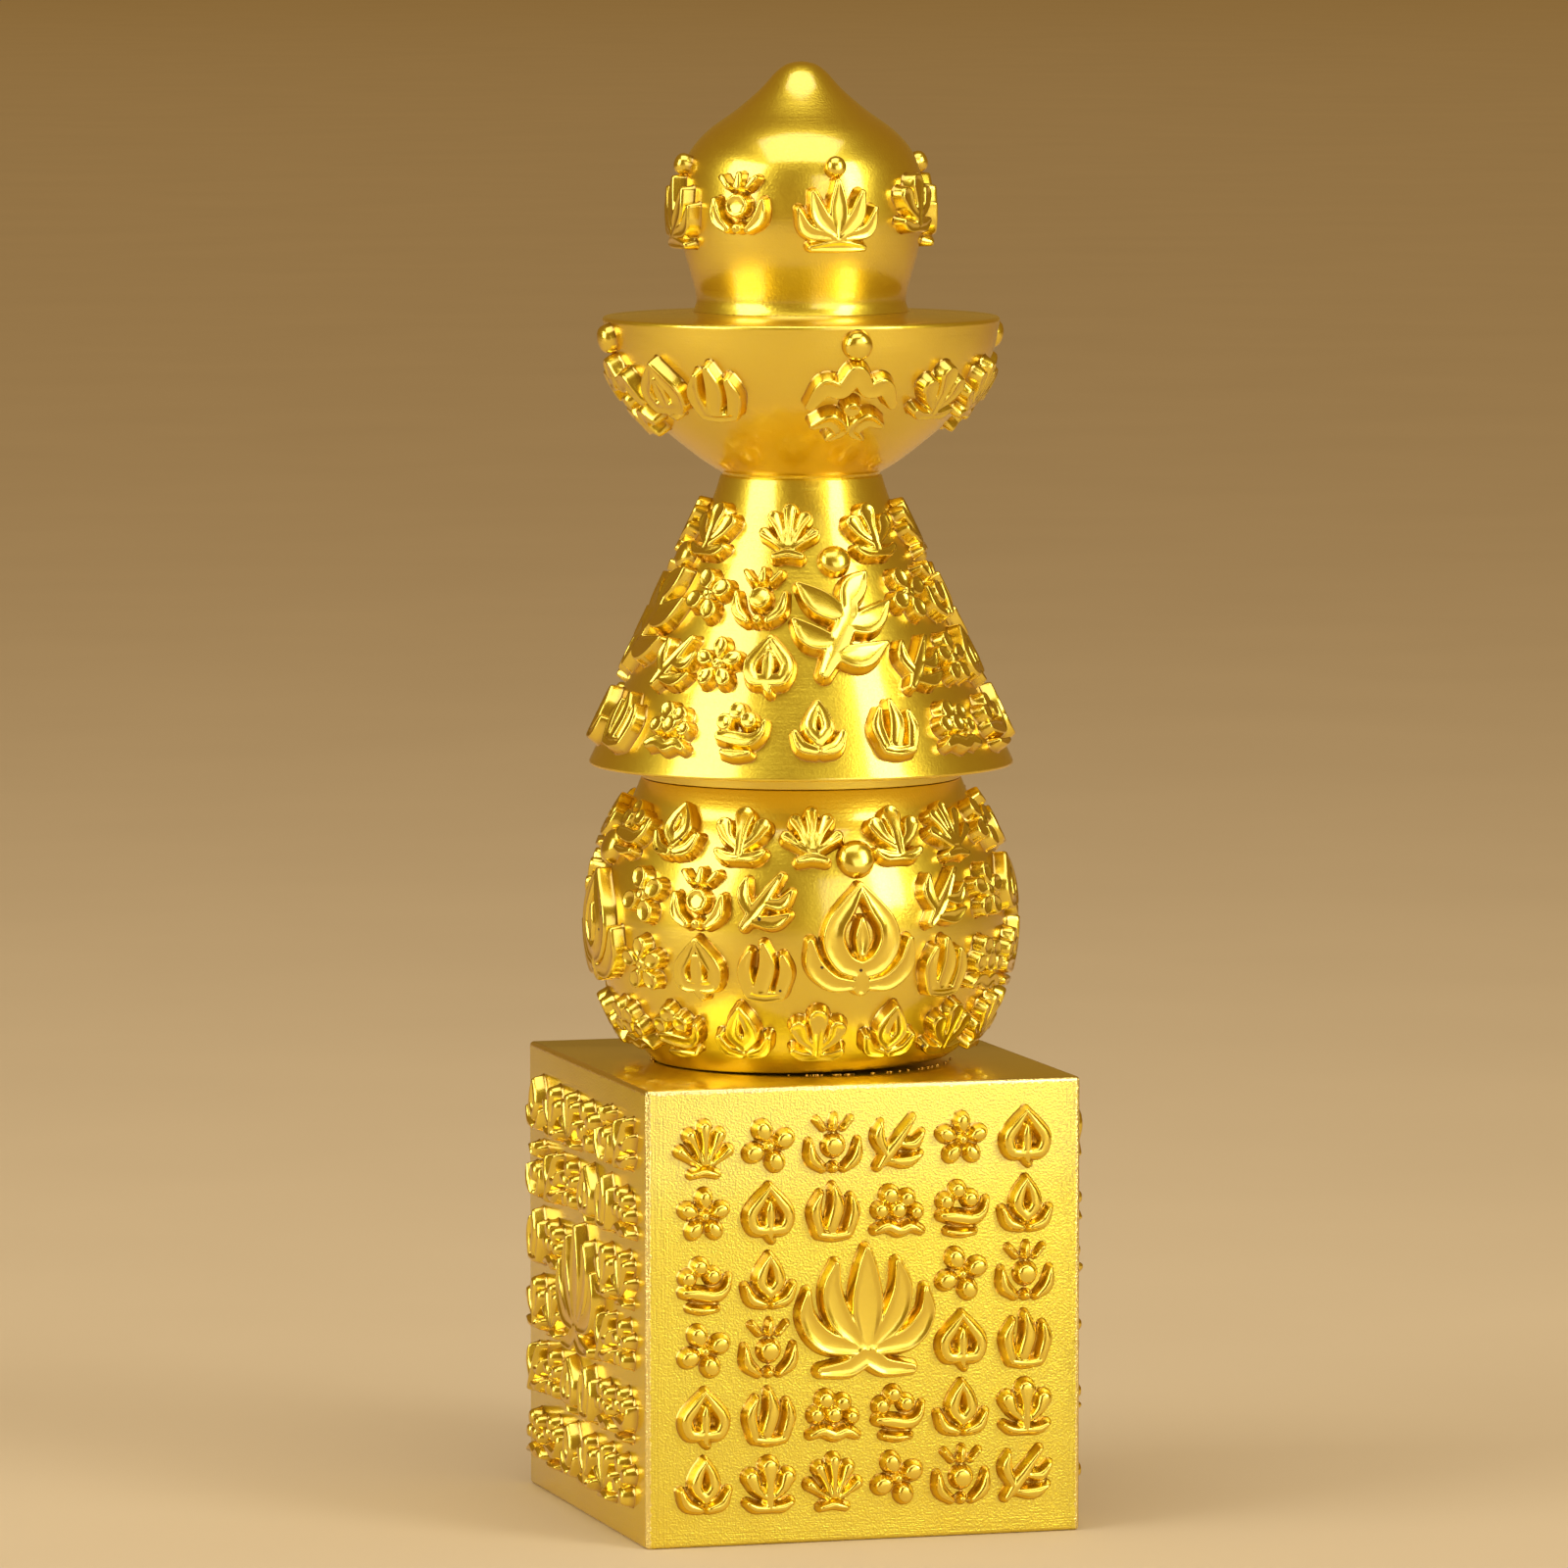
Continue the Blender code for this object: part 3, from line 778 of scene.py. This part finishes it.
def blockGoldFinish():
    # Blasted ground, with upright sanding scratches beside the upright edges and level ones along the foot
    material, coordinates, normal = platedGold("gold-plated brass, blasted and sanded", blockFinish)
    parts = addNode(material, "SeparateXYZ", {}, {"Vector": coordinates})
    upright = parts.outputs["Z"]
    acrossX = addNode(material, "Math", {"operation": "ABSOLUTE"}, {0: parts.outputs["X"]}).outputs[0]
    acrossY = addNode(material, "Math", {"operation": "ABSOLUTE"}, {0: parts.outputs["Y"]}).outputs[0]

    nearer = addNode(material, "Math", {"operation": "MINIMUM"}, {0: acrossX, 1: acrossY}).outputs[0]
    inBorder = addNode(material, "Math", {"operation": "SUBTRACT"}, {
        0: nearer,
        1: (block["width"] / 2 - blockFinish["border"]) * mm,
    }).outputs[0]
    besideEdge = addNode(material, "MapRange", {}, {
        "Value": inBorder,
        "From Max": blockFinish["border"] * blockFinish["borderFull"] * mm,
    }).outputs["Result"]
    lines = fineLines(material, coordinates, (False, False, True), goldFinish["line"])
    normal = scratch(material, lines, besideEdge, blockFinish["borderDepth"], normal)

    atFoot = addNode(material, "MapRange", {}, {
        "Value": upright,
        "From Min": blockFinish["footBand"] * mm,
        "From Max": blockFinish["footBand"] * blockFinish["footFull"] * mm,
    }).outputs["Result"]
    lines = fineLines(material, coordinates, (True, True, False), goldFinish["line"])
    normal = scratch(material, lines, atFoot, blockFinish["footDepth"], normal)

    normal = polishTop(material, upright, normal)
    brightenWornAndLitEdges(material, coordinates, acrossX, acrossY, upright)
    return finishNormal(material, normal)


def onBlockSide(quarter, acrossCentre, heightCentre):
    turn = quarter * math.pi / 2

    def place(across, up, out):
        x, y = acrossCentre * mm + across, -block["width"] / 2 * mm - out
        height = heightCentre * mm + up
        return x * math.cos(turn) - y * math.sin(turn), x * math.sin(turn) + y * math.cos(turn), height

    return place


def buildBlock():
    deselectAll()
    bpy.ops.mesh.primitive_cube_add(size=1.0, location=(0, 0, block["height"] / 2 * mm))
    body = bpy.context.object
    body.scale = (block["width"] * mm, block["width"] * mm, block["height"] * mm)
    bpy.ops.object.transform_apply(location=True, rotation=True, scale=True)
    bpy.ops.object.mode_set(mode="EDIT")
    bpy.ops.mesh.select_all(action="SELECT")
    bpy.ops.mesh.bevel(offset=block["edge"] * mm, segments=block["edgeSegments"], profile=0.5)
    bpy.ops.object.mode_set(mode="OBJECT")
    body.data.materials.append(blockGoldFinish())
    ornaments = []
    middle = (block["columns"] - 1) / 2
    design = 0
    for quarter in range(4):
        for row in range(block["columns"]):
            for column in range(block["columns"]):
                design += 1
                if abs(row - middle) < 1 and abs(column - middle) < 1:
                    continue
                across = (column - middle) * block["pitchAcross"]
                height = block["gridCentre"] + (middle - row) * block["pitchUp"]
                master = blockMasters[(design * drawing["stride"] + row) % len(blockMasters)]
                ornaments.append(layOn(master, onBlockSide(quarter, across, height), reliefGold))
        place = onBlockSide(quarter, 0.0, block["gridCentre"])
        ornaments.append(layOn(largeMasters["block"], place, reliefGold))
    joinAll("blockCasting", body, ornaments, "base_block")


buildBlock()


# Turned pieces. An outline is (radius, height, rounding) in mm from the axis below to the axis above,
# where a rounding of 0 is a point on a smooth run and anything else a corner eased by that much.
# In each piece's dictionary, rows are (height, degrees into each quarter), share is how much of the drawn
# width and height the small ornaments take, and boss is (lift above the large ornament's centre, radius)
turning = {
    "sides": 160,
    "cornerSegments": 5,
    "spacing": 0.5,  # mm between the points of a smooth run
    "ballPoints": 40,
    "conePoints": 20,
}


def smoothRun(guide):
    return [tuple(p) for p in throughPoints([(r, z, 0) for r, z in guide], turning["spacing"])[:, :2]]


def spinOutline(name, outline):
    # Draws the outline as a chain of edges, eases its corners, and spins it round the axis
    deselectAll()
    bpy.ops.mesh.primitive_plane_add()
    body = bpy.context.object
    body.name = name
    bpy.ops.object.mode_set(mode="EDIT")
    bpy.ops.mesh.select_all(action="SELECT")
    bpy.ops.mesh.delete(type="VERT")
    bpy.ops.object.mode_set(mode="OBJECT")
    body.data.from_pydata(
        [(r * mm, 0, z * mm) for r, z, rounding in outline],
        [(k, k + 1) for k in range(len(outline) - 1)],
        [],
    )
    for size in sorted({rounding for r, z, rounding in outline if rounding}):
        corners = [Vector((r * mm, 0, z * mm)) for r, z, rounding in outline if rounding == size]
        bpy.ops.object.mode_set(mode="EDIT")
        bpy.ops.mesh.select_all(action="DESELECT")
        bpy.ops.object.mode_set(mode="OBJECT")
        for vertex in body.data.vertices:
            vertex.select = any((vertex.co - corner).length < 1e-6 for corner in corners)
        bpy.ops.object.mode_set(mode="EDIT")
        bpy.ops.mesh.bevel(offset=size * mm, segments=turning["cornerSegments"], affect="VERTICES")
    bpy.ops.object.mode_set(mode="EDIT")
    bpy.ops.mesh.select_all(action="SELECT")
    bpy.ops.mesh.spin(steps=turning["sides"], angle=2 * math.pi, center=(0, 0, 0), axis=(0, 0, 1))
    bpy.ops.mesh.select_all(action="SELECT")
    bpy.ops.mesh.remove_doubles(threshold=1e-6)
    bpy.ops.mesh.normals_make_consistent(inside=False)
    bpy.ops.object.mode_set(mode="OBJECT")
    body.data.materials.append(turnedGold)
    return body


def onTurned(skin, heightCentre, azimuthDegrees, share=(1.0, 1.0)):
    # skin is the piece's outline from the foot up, as rows of (radius, height) in metres
    run = np.concatenate([[0], np.cumsum(np.hypot(*np.diff(skin, axis=0).T))])
    slope = np.gradient(skin, run, axis=0)
    slope /= np.hypot(*slope.T)[:, None]
    start = np.interp(heightCentre * mm, skin[:, 1], run)
    azimuthCentre = math.radians(azimuthDegrees)

    def place(across, up, out):
        along = start + up * share[1]
        radius = np.interp(along, run, skin[:, 0])
        height = np.interp(along, run, skin[:, 1])
        outward, upward = np.interp(along, run, slope[:, 1]), -np.interp(along, run, slope[:, 0])
        azimuth = azimuthCentre + across * share[0] / radius
        radius = radius + outward * out
        return radius * np.sin(azimuth), -radius * np.cos(azimuth), height + upward * out

    return place


def dressTurned(name, body, skin, setup, relief=reliefGold, extras=()):
    skin = np.array(skin, float) * mm
    ornaments = list(extras)
    lift, radius = setup["boss"]
    boss = makeBoss(radius)
    design = 0
    for quarter in range(4):
        rows = setup.get("rowsBetween", setup["rows"]) if quarter % 2 else setup["rows"]
        for height, angles in rows:
            for angle in angles:
                place = onTurned(skin, height, quarter * 90.0 + angle, setup["share"])
                ornaments.append(layOn(turnedMasters[design % len(turnedMasters)], place, relief))
                design += drawing["stride"]
        place = onTurned(skin, setup["large"], quarter * 90.0)
        ornaments.append(layOn(largeMasters[name], place, relief))
        ornaments.append(layOn(boss, place, relief, lift))
    bpy.data.objects.remove(boss)
    joinAll(name + "Casting", body, ornaments, name)


# Globe
globe = {
    "radius": 22.1,
    "centre": 64.15,
    "seat": 48.9,
    "collarFoot": 18.5,  # radius where the ball ends and the collar leans in from it
    "collar": 17.2,
    "collarTop": 79.4,
    "roundings": {"seat": 0.12, "collarFoot": 0.4, "collarTop": 0.15},
    "dressedTo": 16.5,  # radius up to which the ornaments follow the ball
    "rows": (
        (74.6, (13.0, 34.0, 56.0, 77.0)), (68.0, (26.0, 45.0, 64.0)),
        (60.8, (26.0, 45.0, 64.0)), (54.2, (11.25, 33.75, 56.25, 78.75)),
    ),
    "share": (1.0, 1.03),
    "large": 64.3,
    "boss": (8.2, 2.15),
    # The lift is at the azimuth, fades out with height over "fade", and reaches in to the radius "from"
    "foot": {"azimuth": 66.0, "lift": 0.6, "fade": 1.6, "from": 14.0, "sharpness": 2.0},
    "crumbs": {
        "seed": 7,
        # azimuth, spread and count of each cluster
        "clusters": ((-6, 9, 12), (30, 12, 9), (62, 7, 7), (150, 15, 10), (-110, 14, 10)),
        "out": 0.15,  # from the globe's foot
        "up": 0.08,  # from the block's top
        "height": (0.07, 0.18),
        "width": 1.5,  # times the height
        "length": (1.0, 4.0),  # times the height
    },
}


def globeSkin(endRadius):
    low = math.asin((globe["seat"] - globe["centre"]) / globe["radius"])
    high = math.acos(endRadius / globe["radius"])
    return [
        (globe["radius"] * math.cos(a), globe["centre"] + globe["radius"] * math.sin(a))
        for a in np.linspace(low, high, turning["ballPoints"])
    ]


def makeCrumbs(footRadius, setup):
    # Bright crumbs in the seam under the globe, in a few clusters
    deselectAll()
    bpy.ops.mesh.primitive_ico_sphere_add(subdivisions=1, radius=1.0)
    master = bpy.context.object
    radius = (footRadius + setup["out"]) * mm
    height = (block["height"] + setup["up"]) * mm
    crumbs = []
    dice = random.Random(setup["seed"])
    for cluster, spread, count in setup["clusters"]:
        for k in range(count):
            azimuth = math.radians(dice.gauss(cluster, spread))
            size = dice.uniform(*setup["height"]) * mm
            length = size * dice.uniform(*setup["length"])
            crumb = copyOf(master, reliefGold)
            stretch = Matrix.Diagonal((length, size * setup["width"], size, 1.0))
            move = Matrix.Translation((radius * math.sin(azimuth), -radius * math.cos(azimuth), height))
            crumb.data.transform(move @ Matrix.Rotation(azimuth, 4, "Z") @ stretch)
            crumbs.append(crumb)
    bpy.data.objects.remove(master)
    return crumbs


def liftFoot(body, setup):
    # Opens the seam under the globe on one side, by raising that side of its foot
    for vertex in body.data.vertices:
        x, y, z = vertex.co
        reach = 1 - (z / mm - globe["seat"]) / setup["fade"]
        if math.hypot(x, y) > setup["from"] * mm and reach > 0:
            turn = math.atan2(x, -y) - math.radians(setup["azimuth"])
            towards = ((1 + math.cos(turn)) / 2) ** setup["sharpness"]
            vertex.co.z += setup["lift"] * mm * min(reach, 1.0) * towards


def buildGlobe():
    skin = globeSkin(globe["collarFoot"])
    eased = globe["roundings"]
    outline = [(0, globe["seat"], 0), (*skin[0], eased["seat"])]
    outline += [(r, z, 0) for r, z in skin[1:-1]]
    outline += [(*skin[-1], eased["collarFoot"])]
    outline += [(globe["collar"], globe["collarTop"], eased["collarTop"]), (0, globe["collarTop"], 0)]
    crumbs = makeCrumbs(skin[0][0], globe["crumbs"])
    body = spinOutline("globe", outline)
    liftFoot(body, globe["foot"])
    dressTurned("globe", body, globeSkin(globe["dressedTo"]), globe, porousGold, crumbs)


buildGlobe()


# Cone
cone = {
    "seat": 79.46,  # a low step that fits the globe's collar
    "seatRadius": 17.2,
    "foot": (23.0, 80.8),
    "shoulder": (9.35, 109.5),
    "neck": (8.65, 111.95),
    "roundings": {"seat": 0.1, "foot": 0.5, "shoulder": 1.6, "neck": 0.2},
    "rows": (
        (106.2, (22.5, 67.5)), (99.4, (33.0, 57.0)),
        (92.4, (27.0, 45.0, 63.0)), (85.9, (11.25, 33.75, 56.25, 78.75)),
    ),
    "share": (0.93, 1.06),
    "large": 96.4,
    "boss": (7.6, 1.85),
}


def buildCone():
    eased = cone["roundings"]
    outline = [(0, cone["seat"], 0), (cone["seatRadius"], cone["seat"], eased["seat"])]
    outline += [(cone["seatRadius"], cone["foot"][1], eased["seat"]), (*cone["foot"], eased["foot"])]
    outline += [(*cone["shoulder"], eased["shoulder"]), (*cone["neck"], eased["neck"])]
    outline += [(0, cone["neck"][1], 0)]
    foot, shoulder = np.array(cone["foot"]), np.array(cone["shoulder"])
    skin = [foot + (shoulder - foot) * share for share in np.linspace(0, 1, turning["conePoints"])]
    dressTurned("cone", spinOutline("cone", outline), skin, cone)


buildCone()


# Bowl
bowl = {
    "foot": 111.4,
    "guide": (
        (8.5, 112.2), (9.8, 112.95), (11.7, 114.3), (15.4, 117.4),
        (18.75, 121.4), (20.6, 125.2), (21.4, 128.9),
    ),
    "rimRounding": 0.45,
    "crown": (11.4, 129.5),  # the top rises a little from the rim to the jewel
    "rows": ((122.0, (32.0, 56.0)),),
    "rowsBetween": ((122.0, (26.0, 46.0)),),  # in the second and fourth quarters
    "share": (1.05, 1.08),
    "large": 120.9,
    "boss": (6.6, 1.7),
}


def buildBowl():
    skin = smoothRun(bowl["guide"])
    outline = [(0, bowl["foot"], 0), (skin[0][0], bowl["foot"], 0)] + [(r, z, 0) for r, z in skin[:-1]]
    outline += [(*skin[-1], bowl["rimRounding"]), (*bowl["crown"], 0), (0, bowl["crown"][1], 0)]
    dressTurned("bowl", spinOutline("bowl", outline), skin, bowl)


buildBowl()


# Jewel
jewel = {
    "guide": (
        (11.6, 129.5), (11.25, 130.4), (11.35, 131.6), (11.9, 133.6), (12.55, 136.0),
        (13.05, 138.6), (13.1, 141.3), (12.75, 144.5), (11.75, 146.8), (9.85, 148.9),
        (6.9, 151.05), (4.4, 153.2), (2.65, 155.1), (1.4, 155.95), (0.0, 156.2),
    ),
    "rows": ((141.4, (45.0,)),),
    "share": (1.0, 1.0),
    "large": 140.4,
    "boss": (4.8, 1.2),
}


def buildJewel():
    skin = smoothRun(jewel["guide"])
    outline = [(0, skin[0][1], 0)] + [(r, z, 0) for r, z in skin]
    dressTurned("jewel", spinOutline("jewel", outline), skin, jewel)


buildJewel()


# Clearing up and smooth shading
smoothUpTo = 72.0  # degrees between faces

for master in blockMasters + turnedMasters + list(largeMasters.values()):
    bpy.data.objects.remove(master)
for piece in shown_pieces():
    deselectAll()
    piece.select_set(True)
    bpy.context.view_layer.objects.active = piece
    bpy.ops.object.shade_smooth_by_angle(angle=math.radians(smoothUpTo))
